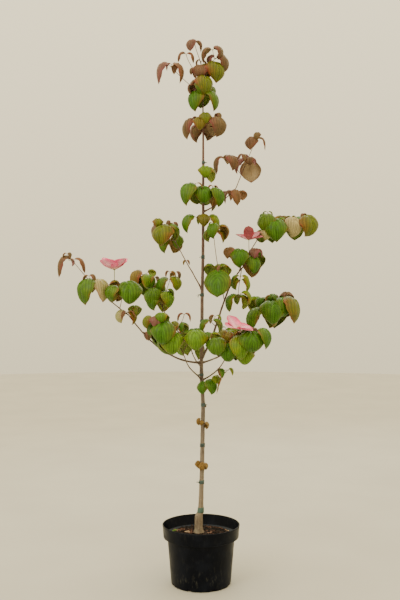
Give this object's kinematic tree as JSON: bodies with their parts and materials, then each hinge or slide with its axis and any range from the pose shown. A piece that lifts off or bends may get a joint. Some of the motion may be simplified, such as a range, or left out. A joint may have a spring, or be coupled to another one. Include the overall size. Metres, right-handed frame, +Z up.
{
  "type": "potted dogwood tree",
  "caption": "Young kousa dogwood in a round black nursery pot: a slender stem with thin paired boughs, drooping ribbed green and bronze leaves and a few pink flowers of four bracts.",
  "frame": {"origin": "centre of the pot's flat underside", "axes": "+Z up along the stem, -Y towards the viewer of the picture, +X to that viewer's right"},
  "size_m": [0.968, 0.5491, 2.0311],
  "materials": {
    "pot_plastic": "black, slightly glossy, scuffed low down",
    "compost": "loose, matt, with chips of bark",
    "bark": "smooth grey-brown bark with small cracks",
    "young_bark": "reddish young bark",
    "tie_tape": "soft green tape",
    "green_leaves": "satin leaf with sunk veins",
    "bronze_leaves": "satin bronze leaf"
  },
  "bodies": {
    "root": {"pot": "pot_plastic", "compost": "compost", "trunk": "bark", "tie_1": "tie_tape", "tie_2": "tie_tape", "tie_3": "tie_tape", "tie_4": "tie_tape", "tie_5": "tie_tape", "tie_6": "tie_tape", "tie_7": "tie_tape", "tie_8": "tie_tape", "tie_9": "tie_tape", "bough_low_left": "young_bark", "bough_left": "young_bark", "bough_back_left": "young_bark", "bough_high_left": "young_bark", "bough_right": "young_bark", "bough_right_top": "young_bark", "bough_right_low": "young_bark", "bough_low_right": "young_bark", "bough_high_right": "young_bark", "bough_back": "young_bark", "foliage_left": "green_leaves", "foliage_left_bud": "bronze_leaves", "foliage_left_back": "green_leaves", "foliage_left_front": "green_leaves", "foliage_left_high": "green_leaves", "foliage_right": "green_leaves", "foliage_right_hanging": "green_leaves", "foliage_right_top": "green_leaves", "foliage_right_low": "green_leaves", "foliage_right_front": "green_leaves", "foliage_centre": "green_leaves", "foliage_inner_right": "green_leaves", "foliage_right_high": "bronze_leaves", "foliage_middle_left": "green_leaves", "foliage_middle_right": "green_leaves", "foliage_middle_top": "green_leaves", "foliage_middle_low": "green_leaves", "foliage_middle_back": "green_leaves", "foliage_upper_front": "bronze_leaves", "foliage_upper_back": "bronze_leaves", "foliage_top": "green_leaves", "foliage_lowest": "green_leaves", "foliage_low_right_bud": "green_leaves", "foliage_back": "green_leaves", "foliage_back_right": "green_leaves"}
  },
  "joints": []
}
